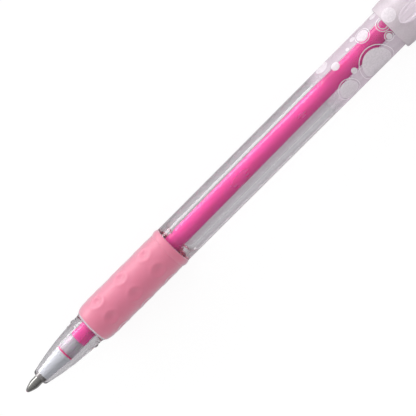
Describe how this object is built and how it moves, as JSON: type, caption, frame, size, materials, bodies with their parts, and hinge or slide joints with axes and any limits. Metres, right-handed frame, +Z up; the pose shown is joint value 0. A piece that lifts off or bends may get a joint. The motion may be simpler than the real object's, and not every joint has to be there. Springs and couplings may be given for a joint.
{
  "type": "gel pen",
  "caption": "Slim gel pen with a clear barrel, pink gel ink, a dimpled rubber grip, and a clear clip cap posted on its rear end.",
  "frame": {"origin": "below the middle of the pen with its cap posted, level with the underside of the cap", "axes": "+X along the pen from the writing point towards the cap, +Z up through the pocket clip, +Y completes the right-handed frame"},
  "size_m": [0.158, 0.012, 0.0148],
  "materials": {
    "clear_plastic": "clear polystyrene, polished, very slightly grey",
    "frosted_plastic": "milky clear polypropylene",
    "tube_plastic": "clear polypropylene",
    "grip_rubber": "soft satin pink rubber",
    "pink_plastic": "moulded pink plastic",
    "white_plastic": "silvery-white moulded plastic",
    "pink_ink": "opaque pink gel ink",
    "follower_grease": "clear grease",
    "point_metal": "fine-turned stainless steel",
    "ball_carbide": "polished tungsten carbide",
    "seal_rubber": "soft pale rubber"
  },
  "bodies": {
    "barrel": {"barrel": "clear_plastic", "grip_sleeve": "grip_rubber", "tail_plug": "pink_plastic"},
    "refill": {"refill_tube": "tube_plastic", "tip_holder": "white_plastic", "point_housing": "point_metal", "ink_column": "pink_ink", "gel_follower": "follower_grease"},
    "ball": {"writing_ball": "ball_carbide"},
    "nose": {"nose_cone": "clear_plastic"},
    "cap": {"cap_shell": "clear_plastic", "inner_cap": "frosted_plastic", "cap_seal": "seal_rubber", "cap_crown": "pink_plastic"},
    "clip": {"pocket_clip": "clear_plastic"}
  },
  "joints": [
    {"name": "cap_pull", "type": "slide", "parent": "barrel", "child": "cap", "axis": [1, 0, 0], "range_m": [0, 0.025]},
    {"name": "clip_flex", "type": "hinge", "parent": "cap", "child": "clip", "pos_m": [0.0729, 0, 0.0141], "axis": [0, 1, 0], "range_deg": [0, 5], "stiffness_Nm_per_rad": 0.4},
    {"name": "refill_pull", "type": "slide", "parent": "barrel", "child": "refill", "axis": [-1, -0.0079, 0], "range_m": [0, 0.115]},
    {"name": "nose_pull", "type": "slide", "parent": "refill", "child": "nose", "axis": [-1, 0, 0], "range_m": [0, 0.035]},
    {"name": "ball_roll", "type": "hinge", "parent": "refill", "child": "ball", "pos_m": [-0.0786, -0.00006, 0.006], "axis": [0, 1, 0], "continuous": true}
  ]
}
